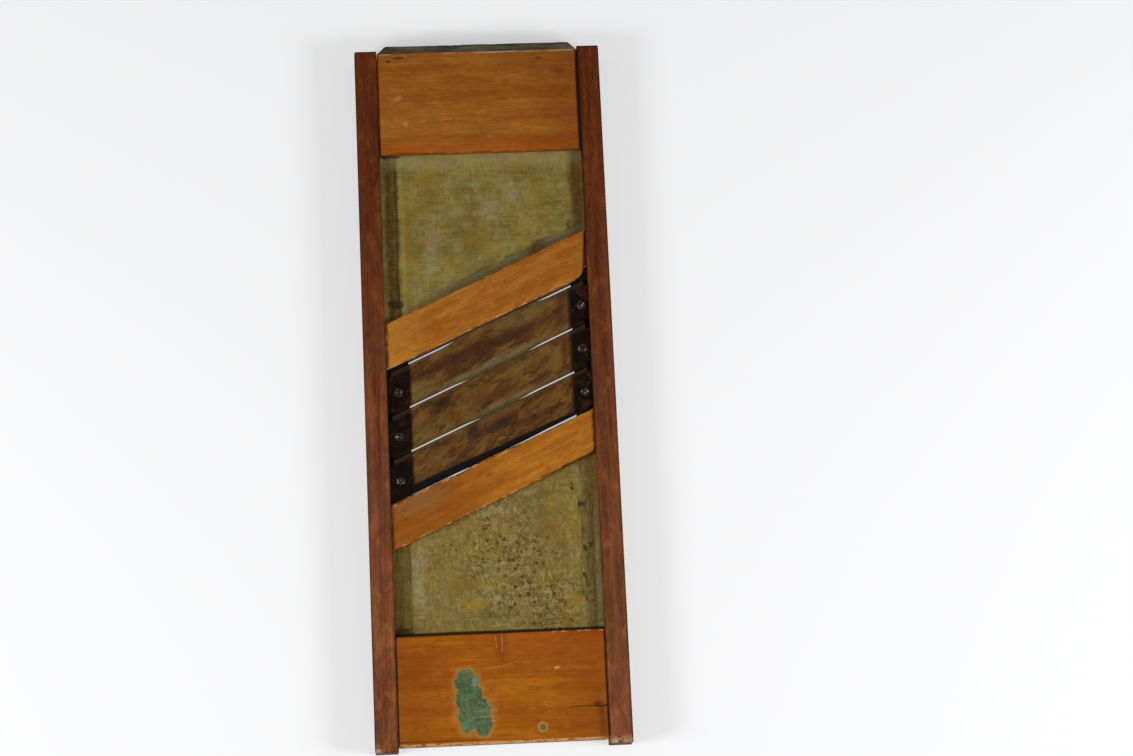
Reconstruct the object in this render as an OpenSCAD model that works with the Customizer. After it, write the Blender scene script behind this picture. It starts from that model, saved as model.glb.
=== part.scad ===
// Cabbage cutter: a nailed wooden frame with two recessed sheet-metal bed plates, two slanted bars
// and three inclined knives, each held at both ends between an iron bracket and a screwed clip.
// X runs across the board, Y along it towards the head board, and Z up from the resting surface.

/* [Frame] */
// Length of a side rail
rail_length = 660; // [600:1:720]
// Width of the whole cutter, across both rails
overall_width = 232; // [210:1:260]
// Width of a rail
rail_width = 21; // [18:0.5:26]
// Depth of a rail, from its underside to its top
rail_depth = 30; // [28:0.5:40]
// Rounding of a rail's outer top edge
rail_outer_round = 3; // [1:0.5:5]
// Rounding of a rail's inner top edge
rail_inner_round = 1.2; // [0.4:0.1:2]
// Rounding of a rail's two bottom edges
rail_bottom_round = 1; // [0.4:0.1:2]

/* [End boards] */
// Thickness of the head board and foot board
board_thickness = 14; // [12:0.5:18]
// Height of the rails' tops above the boards' faces
board_drop = 1.5; // [0.5:0.1:3]
// Height of the head board along the cutter
head_board_height = 108; // [80:1:130]
// How far the head board stands past the rails' top ends
head_overhang = 5.7; // [2:0.1:12]
// Size of the cut across each top corner of the head board
head_corner_clip = 8; // [4:0.5:14]
// Width of the slope along the head board's top edge
head_slope_run = 8.5; // [4:0.5:10]
// How far that slope drops to the top edge
head_slope_drop = 2; // [1:0.5:6]
// Height of the foot board along the cutter
foot_board_height = 99; // [70:1:120]
// Distance of the foot board's lower edge from the rails' bottom ends
foot_board_inset = 4; // [0:0.5:10]
// Rounding of the other edges of boards
board_edge_round = 1; // [0.4:0.1:2]
// Gap between a rail and the end of a board or bar
joint_gap = 0.3; // [0.1:0.05:1]

/* [Slanted bars] */
// Slant of the bars and knives to the width of the cutter, in degrees
bar_angle = 24.2; // [18:0.1:28]
// Thickness of a bar
bar_thickness = 14; // [12:0.5:18]
// Height of the rails' tops above the bars' faces
bar_drop = 2.5; // [1:0.1:4]
// Width of the bar on the head side of the knives
upper_bar_width = 40; // [30:0.5:46]
// Width of the bar on the foot side of the knives
lower_bar_width = 37; // [30:0.5:46]
// Offset of the knife opening's middle from the rails' middle, towards the head
opening_offset = -1.1; // [-10:0.1:10]
// Rounding of a bar's top edges
bar_edge_round = 1.2; // [0.4:0.1:2]
// Rounding of the upper bar's right-hand corner beside the knives
upper_corner_round = 24; // [6:1:30]
// Rounding of the lower bar's right-hand corner beside the lower plate
lower_corner_round = 14; // [6:1:20]

/* [Bed plates] */
// Thickness of the sheet metal
plate_thickness = 0.8; // [0.4:0.1:1.2]
// Height of the rails' tops above the plates
plate_drop = 8; // [6:0.1:10]
// How far a plate's edge reaches into its groove
plate_bite = 5; // [3:0.5:6]
// Space left between a plate's edge and the bottom of its groove
groove_end_gap = 1; // [0.5:0.1:2]
// Clearance above and below a plate in its groove
groove_clearance = 0.2; // [0.1:0.05:0.4]

/* [Knives] */
// Width of a knife, from its cutting edge to its back
knife_width = 35.6; // [30:0.1:40]
// Thickness of a knife
knife_thickness = 1.3; // [1:0.1:2]
// Tilt of a knife, which lifts its cutting edge above its back, in degrees
knife_tilt = 7; // [5:0.5:9]
// Width of the ground bevel along the cutting edge
bevel_width = 3; // [2:0.5:5]
// Thickness left at the cutting edge
edge_thickness = 0.2; // [0.1:0.05:0.4]
// Height of the cutting edges above the bars' faces
knife_rise = 0.2; // [0:0.1:1]
// Opening from one knife's back to the next one's edge, seen from above
throat = 2.2; // [2:0.05:4]
// Opening from the upper bar to the first cutting edge
first_throat = 4.2; // [3.5:0.1:7]
// Opening from the last knife's back to the lower bar
last_gap = 2.7; // [2.5:0.1:6]
// Travel of a knife towards the foot from its set place
adjust_back = 2; // [1:0.1:2.2]
// Travel of a knife towards the head from its set place
adjust_forward = 1.5; // [0.5:0.1:2]

/* [Knife brackets] */
// Thickness of a bracket's wall against its rail
bracket_wall = 4; // [3:0.5:5]
// Thickness of the stepped ledge that carries the knife ends
ledge_thickness = 4; // [3:0.5:5]
// Distance of a seat's front from the cutting edge above it
seat_setback = 2; // [1:0.1:3]
// Depth of a bracket below the bars' faces
bracket_depth = 19.5; // [17:0.5:22]
// Diameter of the threaded boss under each seat
boss_diameter = 9; // [8:0.5:10]
// Depth of a boss below the ledge
boss_depth = 4; // [2:0.5:5]
// Gap between a bracket's ends and the bars
bracket_end_gap = 0.5; // [0.3:0.1:1]
// Depth of the flange by the upper bar below the first seat
flange_drop = 1; // [0.5:0.1:1.2]
// Thickness of that flange
flange_thickness = 2.5; // [1.5:0.1:2.6]
// How far the right bracket's ear stops short of the start of the upper bar's rounded corner
ear_shortfall = 8; // [5:0.5:11]
// How far the ledge stops short of the clips' inner edges
ledge_inset = 0.5; // [0:0.1:2]
// Clearance above and below a knife's end
running_gap = 0.1; // [0.05:0.05:0.2]

/* [Knife clips] */
// Width of the clips on the left, out from the rail
left_clip_width = 21; // [16:0.5:24]
// Width of the clips on the right, out from the rail
right_clip_width = 16.5; // [16:0.5:24]
// Thickness of a clip
clip_thickness = 1.2; // [1:0.1:1.6]
// Width of the heel by which a clip stands on its bracket
clip_heel = 2.6; // [2:0.1:4]
// Distance of a clip's front from the cutting edge
clip_front_inset = 4.5; // [4:0.1:7]
// Distance of a clip's back from the knife's back
clip_back_inset = 1.5; // [1:0.1:3]
// Gap between a clip and its rail
clip_gap = 0.5; // [0.3:0.1:0.8]
// Gap left between a clip's heel and the knife's end at the end of the knife's travel
heel_gap = 0.5; // [0.3:0.1:1]

/* [Screws and nails] */
// Diameter of a knife screw
knife_screw_diameter = 4; // [3:0.1:4.5]
// Diameter of a knife screw's head
knife_screw_head = 8; // [7:0.5:10]
// Height of a knife screw's head
knife_screw_head_height = 1.6; // [1.2:0.1:2]
// Width of the slot in a screw head
driver_slot_width = 1.1; // [0.8:0.1:1.4]
// Depth of the slot in a screw head
driver_slot_depth = 0.8; // [0.5:0.1:1]
// Distance of the knife screws from the middle of a knife's width, towards its back
knife_screw_offset = 2; // [0:0.1:4]
// Diameter of a bracket's wood screws
bracket_screw_diameter = 3.5; // [3:0.1:4.5]
// Diameter of a wood screw's head
bracket_screw_head = 7; // [6:0.5:9]
// Height of a wood screw's head
bracket_screw_head_height = 2; // [1.5:0.1:2.5]
// Length of a wood screw under its head
bracket_screw_length = 17; // [12:0.5:18]
// Height of the wood screws above a bracket's lower edge
bracket_screw_rise = 5; // [4.5:0.1:6]
// Diameter of a nail
nail_diameter = 2.4; // [2:0.1:3]
// Diameter of a nail's head
nail_head = 5; // [4:0.1:6]
// Thickness of a nail's head
nail_head_height = 1; // [0.6:0.1:1.5]
// Length of a nail
nail_length = 45; // [35:1:50]
// Length of a nail's point
nail_point = 5; // [3:0.5:7]
// Diameter at the end of a nail's point
nail_tip = 0.6; // [0.4:0.1:1]
// Depth of the nails below the bed plates
nail_drop = 3.5; // [2.5:0.1:4]
// Distance between the two nails at each end of a board
board_nail_spacing = 56; // [30:1:64]
// Distance between the two nails at each end of a bar
bar_nail_spacing = 18; // [10:1:18]
// Clearance round a screw or nail in its hole
fit_clearance = 0.05; // [0.03:0.01:0.1]
// Clearance round a knife screw in the knife's slot and the clip's hole
slot_clearance = 0.3; // [0.2:0.05:0.5]

/* [Hidden] */
$fn = 48;

// Colours
RAIL_BROWN = "#5a2c1a";
BOARD_BROWN = "#8f571f";
BAR_GOLD = "#a46c26";
SHEET_GREY = "#7a6e44";
KNIFE_BROWN = "#62492c";
IRON_BLACK = "#211d1a";
SCREW_GREY = "#77716a";
NAIL_GREY = "#4d463f";

// Sides and knives, by number
LEFT = -1;
RIGHT = 1;
UPPER = 0;
MIDDLE = 1;
LOWER = 2;
KNIVES = [UPPER, MIDDLE, LOWER];

// Angles at which the slots of the knife screws and wood screws have stopped
first_slot_turn = 35;
next_slot_turn = 50;
side_slot_turn = 20;
wood_screw_turn = 60;

// Overshoot that carries a cut past the faces it opens
past = 1;
// Length that carries a slanted profile past both rails
slant_length = 2 * overall_width;

// Levels, measured down from the rails' tops
rail_top = rail_depth;
board_top = rail_top - board_drop;
bar_top = rail_top - bar_drop;
plate_top = rail_top - plate_drop;
nail_level = plate_top - plate_thickness - nail_drop;
edge_level = bar_top + knife_rise;
bracket_low = bar_top - bracket_depth;

// Places across and along the frame, from the middle of the rails
outer_x = overall_width / 2;
inner_x = outer_x - rail_width;
board_half = inner_x - joint_gap;
rail_end = rail_length / 2;
head_high = rail_end + head_overhang;
head_low = head_high - head_board_height;
foot_low = foot_board_inset - rail_end;
foot_high = foot_low + foot_board_height;
frame_shift = -head_overhang / 2;
groove_depth = plate_bite + groove_end_gap;
groove_height = plate_thickness + 2 * groove_clearance;

// Places square to the slant, counted towards the head
knife_reach = knife_width * cos(knife_tilt);
knife_pitch = knife_reach + throat;
knife_opening = first_throat + LOWER * knife_pitch + knife_reach + last_gap;
opening_high = opening_offset + knife_opening / 2;
opening_low = opening_offset - knife_opening / 2;
upper_bar_middle = opening_high + upper_bar_width / 2;
lower_bar_middle = opening_low - lower_bar_width / 2;
function edge_place(k) = opening_high - first_throat - k * knife_pitch;
function seat_front(k) = edge_place(k) - seat_setback;
function seat_back(k) = k < LOWER ? seat_front(k + 1) : opening_low + bracket_end_gap;
function seat_level(k, place) =
    edge_level - running_gap / cos(knife_tilt) - (edge_place(k) - place) * tan(knife_tilt);

// From a place square to the slant and an x to the y along the cutter, and to the distance along the slant
function y_at(place, x) = (place + x * sin(bar_angle)) / cos(bar_angle);
function along_at(place, x) = (x + place * sin(bar_angle)) / cos(bar_angle);

// Rounding of a bar's right-hand corner: its reach along both sides of the corner, and its middle
function corner_reach(radius) = radius / tan((90 + bar_angle) / 2);
function corner_middle(place, radius) =
    [board_half - radius, y_at(place, board_half) + corner_reach(radius)];

// Underside of the flange by the upper bar
flange_low = seat_level(UPPER, seat_front(UPPER)) - flange_drop - flange_thickness;

// Knife ends, clips and their screws: a knife also moves sideways as it slides along its slanted slope
knife_side_travel = max(adjust_back, adjust_forward) * sin(bar_angle);
knife_half = inner_x - clip_gap - clip_heel - heel_gap - knife_side_travel;
knife_screw_row = -knife_width / 2 - knife_screw_offset;
clip_level = knife_thickness + running_gap;
function clip_width(side) = side == LEFT ? left_clip_width : right_clip_width;
function knife_screw_x(side) = side * (inner_x - clip_width(side) / 2 + clip_gap);
function knife_screw_along(side, k) =
    along_at(edge_place(k) + knife_screw_row * cos(knife_tilt), knife_screw_x(side));

// Nails: x where the middle of a nail's hold in a board or bar lies
nail_hold_x = inner_x - (nail_length - rail_width) / 2;
head_board_nail_y = [for (s = [-0.5, 0.5]) (head_low + rail_end) / 2 + s * board_nail_spacing];
foot_board_nail_y = [for (s = [-0.5, 0.5]) (foot_low + foot_high) / 2 + s * board_nail_spacing];
function bar_nail_y(place, side) =
    [for (s = [-0.5, 0.5]) y_at(place, side * nail_hold_x) + s * bar_nail_spacing];
function bracket_screw_y(side) =
    [for (k = [MIDDLE, LOWER]) y_at(seat_front(k) - ledge_thickness / 2, side * inner_x)];

// Moves a piece from the rails' middle to the middle of the whole cutter
module placed() {
    translate([0, frame_shift, 0]) children();
}

// Runs an outline, drawn as place and height, along the slant
module along_slant() {
    rotate([0, 0, bar_angle]) rotate([90, 0, 90]) linear_extrude(slant_length, center = true) children();
}

// Runs an outline, drawn as y and height, straight across the cutter
module across(half) {
    rotate([90, 0, 90]) linear_extrude(2 * half, center = true) children();
}

// Keeps the stretch of a piece that lies between two values of x
module between_x(low, high) {
    intersection() {
        children();
        translate([low, -rail_length, -rail_depth]) cube([high - low, 2 * rail_length, 3 * rail_depth]);
    }
}

// Keeps the stretch beside one rail, from one distance out of it to another
module beside_rail(side, near, far) {
    if (side == LEFT) between_x(near - inner_x, far - inner_x) children();
    else between_x(inner_x - far, inner_x - near) children();
}

// Works in one knife's own plane: its cutting edge along X, its back towards -Y, its underside at 0
module in_knife_plane(k) {
    rotate([0, 0, bar_angle]) translate([0, edge_place(k), edge_level]) rotate([knife_tilt, 0, 0]) children();
}

// Works on one knife screw's axis
module on_knife_screw(side, k) {
    in_knife_plane(k) translate([knife_screw_along(side, k), knife_screw_row, 0]) children();
}

// Corner waste outside a rounding, for a square corner at the origin with its piece towards -X and -Y
module corner_waste(radius) {
    translate([-radius, -radius]) difference() {
        square(2 * radius);
        circle(radius);
    }
}

// Section of a plank standing on its underside, with its two top edges rounded
module plank_section(width, height, first_round, last_round) {
    difference() {
        square([width, height]);
        translate([width, height]) corner_waste(last_round);
        translate([0, height]) mirror([1, 0]) corner_waste(first_round);
    }
}

// Nail and its hole, driven inwards from a rail's outer face
module at_nail(side, y) {
    translate([side * outer_x, y, nail_level]) rotate([0, -90 * side, 0]) children();
}

module nail(side, y) {
    at_nail(side, y) {
        cylinder(d = nail_head, h = nail_head_height);
        cylinder(d = nail_diameter, h = nail_length - nail_point);
        translate([0, 0, nail_length - nail_point])
            cylinder(d1 = nail_diameter, d2 = nail_tip, h = nail_point);
    }
}

module nail_hole(side, y) {
    at_nail(side, y) {
        translate([0, 0, -past])
            cylinder(d = nail_head + 2 * fit_clearance, h = past + nail_head_height + fit_clearance);
        cylinder(d = nail_diameter + 2 * fit_clearance, h = nail_length + fit_clearance);
    }
}

module nails_at(places_left, places_right) {
    for (y = places_left) nail(LEFT, y);
    for (y = places_right) nail(RIGHT, y);
}

module nail_holes_at(places_left, places_right) {
    for (y = places_left) nail_hole(LEFT, y);
    for (y = places_right) nail_hole(RIGHT, y);
}

// Domed, slotted screw head standing on 0
module slotted_head(diameter, height, turn) {
    dome_radius = (diameter * diameter / 4 + height * height) / (2 * height);
    difference() {
        intersection() {
            cylinder(d = diameter, h = height);
            translate([0, 0, height - dome_radius]) sphere(dome_radius, $fn = 96);
        }
        rotate([0, 0, turn]) translate([-diameter, -driver_slot_width / 2, height - driver_slot_depth])
            cube([2 * diameter, driver_slot_width, height]);
    }
}

// Places a bracket's wood screws on the inner face of its wall, pointing into the rail
module at_bracket_screws(side) {
    for (y = bracket_screw_y(side))
        translate([side * (inner_x - bracket_wall), y, bracket_low + bracket_screw_rise])
            rotate([0, 90 * side, 0]) children();
}

module bracket_screw_holes(side) {
    depth = past + bracket_screw_length + fit_clearance;
    at_bracket_screws(side) translate([0, 0, -past])
        cylinder(d = bracket_screw_diameter + 2 * fit_clearance, h = depth);
}

// Side rail: rounded section with the plate groove along its inner face
module rail(side) {
    color(RAIL_BROWN) placed() difference() {
        mirror([side == LEFT ? 1 : 0, 0, 0]) rotate([90, 0, 0]) linear_extrude(rail_length, center = true)
            rail_section();
        nail_holes_at(
            concat(head_board_nail_y, foot_board_nail_y,
                bar_nail_y(upper_bar_middle, LEFT), bar_nail_y(lower_bar_middle, LEFT)),
            concat(head_board_nail_y, foot_board_nail_y,
                bar_nail_y(upper_bar_middle, RIGHT), bar_nail_y(lower_bar_middle, RIGHT)));
        bracket_screw_holes(side);
    }
}

module rail_section() {
    difference() {
        translate([inner_x, 0]) plank_section(rail_width, rail_depth, rail_inner_round, rail_outer_round);
        translate([outer_x, 0]) mirror([0, 1]) corner_waste(rail_bottom_round);
        translate([inner_x, 0]) mirror([1, 0]) mirror([0, 1]) corner_waste(rail_bottom_round);
        translate([inner_x - past, plate_top - plate_thickness - groove_clearance])
            square([groove_depth + past, groove_height]);
    }
}

module left_rail() { rail(LEFT); }
module right_rail() { rail(RIGHT); }

// Groove across a board's edge for a plate, from one y to another
module board_groove(low, high) {
    translate([-inner_x, low, plate_top - plate_thickness - groove_clearance])
        cube([2 * inner_x, high - low, groove_height]);
}

// Head board's section, standing on its underside, with the slope along its top edge
module head_section() {
    difference() {
        plank_section(head_board_height, board_thickness, board_edge_round, board_edge_round);
        translate([head_board_height, board_thickness]) polygon([
            [-head_slope_run, 0], [0, -head_slope_drop], [past, -head_slope_drop],
            [past, past], [-head_slope_run, past]]);
    }
}

// Head board: its top edge sloped off, its top corners cut off
module head_board() {
    color(BOARD_BROWN) placed() difference() {
        intersection() {
            across(board_half) translate([head_low, board_top - board_thickness]) head_section();
            linear_extrude(rail_depth) polygon([
                [-board_half, head_low], [board_half, head_low],
                [board_half, head_high - head_corner_clip], [board_half - head_corner_clip, head_high],
                [head_corner_clip - board_half, head_high], [-board_half, head_high - head_corner_clip]]);
        }
        board_groove(head_low - past, head_low + groove_depth);
        nail_holes_at(head_board_nail_y, head_board_nail_y);
    }
}

module foot_board() {
    color(BOARD_BROWN) placed() difference() {
        across(board_half) translate([foot_low, board_top - board_thickness])
            plank_section(foot_board_height, board_thickness, board_edge_round, board_edge_round);
        board_groove(foot_high - groove_depth, foot_high + past);
        nail_holes_at(foot_board_nail_y, foot_board_nail_y);
    }
}

// Waste outside the rounding of a bar's right-hand corner on its foot side
module bar_corner_waste(place, radius) {
    corner_y = y_at(place, board_half);
    tangent = corner_reach(radius);
    touch = [-tangent * cos(bar_angle), -tangent * sin(bar_angle)];
    clear_of_edge = [past * sin(bar_angle), -past * cos(bar_angle)];
    translate([board_half, corner_y, 0]) linear_extrude(rail_depth) difference() {
        polygon([[past, -past], [past, tangent], [-radius, tangent], touch, touch + clear_of_edge]);
        translate([-radius, tangent]) circle(radius, $fn = 96);
    }
}

// Slanted bar from one place to another, with the plate groove along one of its edges
module slanted_bar(low, high, groove_low, groove_high, corner_round) {
    middle = (low + high) / 2;
    color(BAR_GOLD) placed() difference() {
        between_x(-board_half, board_half) along_slant() difference() {
            translate([low, bar_top - bar_thickness])
                plank_section(high - low, bar_thickness, bar_edge_round, bar_edge_round);
            translate([groove_low, plate_top - plate_thickness - groove_clearance])
                square([groove_high - groove_low, groove_height]);
        }
        bar_corner_waste(low, corner_round);
        nail_holes_at(bar_nail_y(middle, LEFT), bar_nail_y(middle, RIGHT));
    }
}

module upper_bar() {
    high = opening_high + upper_bar_width;
    slanted_bar(opening_high, high, high - groove_depth, high + past, upper_corner_round);
}

module lower_bar() {
    low = opening_low - lower_bar_width;
    slanted_bar(low, opening_low, low - past, low + groove_depth, lower_corner_round);
}

// Bed plate: a sheet whose four edges sit in the grooves round it
module bed_plate(slant_place, straight_y) {
    half = inner_x + plate_bite;
    color(SHEET_GREY) placed() translate([0, 0, plate_top - plate_thickness]) linear_extrude(plate_thickness)
        polygon([[-half, y_at(slant_place, -half)], [half, y_at(slant_place, half)],
            [half, straight_y], [-half, straight_y]]);
}

module upper_bed_plate() { bed_plate(opening_high + upper_bar_width - plate_bite, head_low + plate_bite); }
module lower_bed_plate() { bed_plate(opening_low - lower_bar_width + plate_bite, foot_high - plate_bite); }

// Knife: ground along its raised edge, with a slot at each end for its screw
module knife(k) {
    color(KNIFE_BROWN) placed() difference() {
        between_x(-knife_half, knife_half) in_knife_plane(k)
            rotate([90, 0, 90]) linear_extrude(slant_length, center = true) polygon([
                [-knife_width, 0], [0, 0], [0, edge_thickness],
                [-bevel_width, knife_thickness], [-knife_width, knife_thickness]]);
        for (side = [LEFT, RIGHT]) on_knife_screw(side, k) knife_slot();
    }
}

module knife_slot() {
    slot_width = knife_screw_diameter + 2 * slot_clearance;
    depth = knife_thickness + 2 * past;
    translate([0, 0, -past]) {
        translate([0, adjust_back, 0]) cylinder(d = slot_width, h = depth);
        translate([0, -adjust_forward, 0]) cylinder(d = slot_width, h = depth);
        translate([-slot_width / 2, -adjust_forward, 0])
            cube([slot_width, adjust_back + adjust_forward, depth]);
    }
}

module upper_knife() { knife(UPPER); }
module middle_knife() { knife(MIDDLE); }
module lower_knife() { knife(LOWER); }

// Stepped top line of a bracket: one inclined seat a knife, with a riser up to each next seat
seat_line = [for (k = KNIVES) each [
    [seat_front(k), seat_level(k, seat_front(k))],
    [seat_back(k), seat_level(k, seat_back(k))]]];

// Underside of the ledge, from the foot side back to the head side
ledge_line = [for (n = [LOWER : -1 : UPPER]) each [
    [seat_back(n) - (n < LOWER ? ledge_thickness : 0),
        seat_level(n, seat_back(n) - (n < LOWER ? ledge_thickness : 0)) - ledge_thickness],
    [seat_front(n) - (n > UPPER ? ledge_thickness : 0),
        seat_level(n, seat_front(n) - (n > UPPER ? ledge_thickness : 0)) - ledge_thickness]]];

// Left-hand flange from the first seat to the upper bar, closing the end of the throat
module left_flange() {
    beside_rail(LEFT, 0, clip_width(LEFT) - ledge_inset) along_slant()
        translate([seat_front(UPPER) - past, flange_low])
            square([opening_high - bracket_end_gap - seat_front(UPPER) + past, flange_thickness]);
}

// Right-hand flange, whose ear reaches into the upper bar's rounded corner
module right_flange() {
    near_x = inner_x - clip_width(RIGHT) + ledge_inset;
    middle = corner_middle(opening_high, upper_corner_round);
    ear_high = middle[1] - ear_shortfall;
    translate([0, 0, flange_low]) linear_extrude(flange_thickness) difference() {
        polygon([[near_x, y_at(seat_front(UPPER) - past, near_x)],
            [inner_x, y_at(seat_front(UPPER) - past, inner_x)], [inner_x, ear_high], [near_x, ear_high]]);
        translate(middle) circle(upper_corner_round + bracket_end_gap, $fn = 96);
    }
}

module knife_bracket(side) {
    color(IRON_BLACK) placed() difference() {
        union() {
            if (side == LEFT) left_flange();
            else right_flange();
            beside_rail(side, 0, clip_width(side) - ledge_inset) along_slant()
                polygon(concat(seat_line, ledge_line));
            beside_rail(side, 0, bracket_wall) along_slant() polygon(concat(seat_line,
                [[seat_back(LOWER), bracket_low], [seat_front(UPPER), bracket_low]]));
            for (k = KNIVES) on_knife_screw(side, k)
                translate([0, 0, -running_gap - ledge_thickness - boss_depth])
                    cylinder(d = boss_diameter, h = boss_depth + ledge_thickness / 2);
        }
        for (k = KNIVES) on_knife_screw(side, k)
            translate([0, 0, -running_gap - ledge_thickness - boss_depth - past])
                cylinder(d = knife_screw_diameter + 2 * fit_clearance, h = boss_depth + 2 * ledge_thickness);
        bracket_screw_holes(side);
    }
}

module left_knife_bracket() { knife_bracket(LEFT); }
module right_knife_bracket() { knife_bracket(RIGHT); }

// Clip: its heel stands on the bracket beside the rail and its plate lies over the knife's end
module clip(side, k) {
    plate_length = knife_width - clip_front_inset - clip_back_inset;
    heel_low = fit_clearance - running_gap;
    color(IRON_BLACK) placed() difference() {
        union() {
            beside_rail(side, clip_gap, clip_width(side)) in_knife_plane(k)
                translate([-slant_length / 2, clip_back_inset - knife_width, clip_level])
                    cube([slant_length, plate_length, clip_thickness]);
            beside_rail(side, clip_gap, clip_gap + clip_heel) in_knife_plane(k)
                translate([-slant_length / 2, clip_back_inset - knife_width, heel_low])
                    cube([slant_length, plate_length, clip_level + clip_thickness - heel_low]);
        }
        on_knife_screw(side, k)
            cylinder(d = knife_screw_diameter + 2 * slot_clearance, h = clip_level + clip_thickness + past);
    }
}

module upper_left_clip() { clip(LEFT, UPPER); }
module middle_left_clip() { clip(LEFT, MIDDLE); }
module lower_left_clip() { clip(LEFT, LOWER); }
module upper_right_clip() { clip(RIGHT, UPPER); }
module middle_right_clip() { clip(RIGHT, MIDDLE); }
module lower_right_clip() { clip(RIGHT, LOWER); }

// Knife screws: each turned to its own angle, their shanks ending at the foot of the bosses
module knife_screws(side) {
    shank_low = -running_gap - ledge_thickness - boss_depth;
    head_low_level = clip_level + clip_thickness;
    color(SCREW_GREY) placed() for (k = KNIVES) on_knife_screw(side, k) {
        translate([0, 0, head_low_level])
            slotted_head(knife_screw_head, knife_screw_head_height,
                first_slot_turn + next_slot_turn * k + side_slot_turn * side);
        translate([0, 0, shank_low])
            cylinder(d = knife_screw_diameter, h = head_low_level + knife_screw_head_height / 4 - shank_low);
    }
}

module left_knife_screws() { knife_screws(LEFT); }
module right_knife_screws() { knife_screws(RIGHT); }

module bracket_screws(side) {
    color(SCREW_GREY) placed() at_bracket_screws(side) {
        rotate([180, 0, 0]) slotted_head(bracket_screw_head, bracket_screw_head_height, wood_screw_turn);
        translate([0, 0, -bracket_screw_head_height / 4])
            cylinder(d = bracket_screw_diameter, h = bracket_screw_length + bracket_screw_head_height / 4);
    }
}

module left_bracket_screws() { bracket_screws(LEFT); }
module right_bracket_screws() { bracket_screws(RIGHT); }

module head_board_nails() { color(NAIL_GREY) placed() nails_at(head_board_nail_y, head_board_nail_y); }
module foot_board_nails() { color(NAIL_GREY) placed() nails_at(foot_board_nail_y, foot_board_nail_y); }

module bar_nails(middle) {
    color(NAIL_GREY) placed() nails_at(bar_nail_y(middle, LEFT), bar_nail_y(middle, RIGHT));
}

module upper_bar_nails() { bar_nails(upper_bar_middle); }
module lower_bar_nails() { bar_nails(lower_bar_middle); }

left_rail();
right_rail();
head_board();
foot_board();
upper_bar();
lower_bar();
upper_bed_plate();
lower_bed_plate();
upper_knife();
middle_knife();
lower_knife();
left_knife_bracket();
right_knife_bracket();
upper_left_clip();
middle_left_clip();
lower_left_clip();
upper_right_clip();
middle_right_clip();
lower_right_clip();
left_knife_screws();
right_knife_screws();
left_bracket_screws();
right_bracket_screws();
head_board_nails();
foot_board_nails();
upper_bar_nails();
lower_bar_nails();
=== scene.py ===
"""Looks of an old cabbage cutter: stained rails, golden boards and bars, tarnished plates and knives."""

import math

import bmesh
import bpy
from mathutils import Matrix, Vector, noise


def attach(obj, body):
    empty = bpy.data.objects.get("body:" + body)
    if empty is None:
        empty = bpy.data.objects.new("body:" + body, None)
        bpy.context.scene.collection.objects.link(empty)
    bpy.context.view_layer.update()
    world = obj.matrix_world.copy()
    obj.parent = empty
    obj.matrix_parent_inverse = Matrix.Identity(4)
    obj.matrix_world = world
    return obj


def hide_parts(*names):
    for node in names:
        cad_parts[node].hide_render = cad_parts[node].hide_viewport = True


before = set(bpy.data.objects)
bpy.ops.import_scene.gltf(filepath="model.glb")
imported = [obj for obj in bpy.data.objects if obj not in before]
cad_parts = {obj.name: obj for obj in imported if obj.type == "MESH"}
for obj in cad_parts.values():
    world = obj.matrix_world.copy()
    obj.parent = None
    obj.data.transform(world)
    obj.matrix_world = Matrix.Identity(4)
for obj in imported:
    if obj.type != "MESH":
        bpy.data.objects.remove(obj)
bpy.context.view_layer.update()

# Angles of the slanted bars and of the tilted knives
SLANT = math.radians(24.2)
KNIFE_TILT = math.radians(7)

# Places and sizes on the cutter that the finishes and the wear follow, in millimetres
RAIL_INNER = 95.0
RAIL_OUTER = 116.0
RAIL_FOOT = -332.85
RAIL_HEAD = 327.15
RAIL_TOP = 30.0
BOARD_END = 94.7
BOARD_TOP = 28.5
HEAD_TOP = 332.85
HEAD_LOW = 224.85
HEAD_SLOPE = 8.5
FOOT_TOP = -229.85
FOOT_LOW = -328.85
BAR_TOP = 27.5
UPPER_BAR_LOW = 54.95
UPPER_BAR_HIGH = 94.95
LOWER_BAR_LOW = -99.35
LOWER_BAR_HIGH = -62.35
KNIFE_REACH = 35.3
UPPER_EDGE = 50.75
MIDDLE_EDGE = 13.2
LOWER_EDGE = -24.3
KNIFE_FULLEST = 8.0
KNIFE_CUT_END = 78.0
KNIFE_SIDE = 0.4
LEFT_CLIP = 21.0
RIGHT_CLIP = 16.5

# How far wear takes back an edge of wood, and the lengths over which it changes, in millimetres
EVEN_WEAR = 0.2
RUB_WEAR = 0.25
NICK_WEAR = 1.3
CHIP_WEAR = 3.2
RUB_LENGTH = 31.0
NICK_LENGTH = 6.0
CHIP_LENGTH = 9.0

# How far the lower bar's top edge stands out over the last knife's back, in millimetres
LIP_REACH = 2.0

# How near points count as one when shapes are joined and cut, in metres
JOINED_WITHIN = 0.00001
CUT_WITHIN = 0.000001

# How far a surface leans off a piece's flat faces where wear is full, and where shading turns sharp
EDGE_LEAN = 0.22
SHARP_ANGLE = math.radians(35)

# How strongly wood mirrors light, and the millimetres in a metre
WOOD_SHINE = 0.06
MILLIMETRES = 1000.0

# The floor and the light: metres, watts, colours and strengths
FLOOR_HALF = 6.0
FLOOR_DROP = 0.0002
FLOOR_COLOUR = (0.84, 0.84, 0.85, 1.0)
GLOW_COLOUR = (0.93, 0.935, 0.945, 1.0)
GLOW_SHARE = 0.54
SKY_COLOUR = (1.0, 1.0, 1.0, 1.0)
SKY_LIGHT = 0.28
SKY_SEEN_MORE = 0.67
LAMP_WATTS = 36.0
LAMP_SIZE = 0.6

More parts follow.
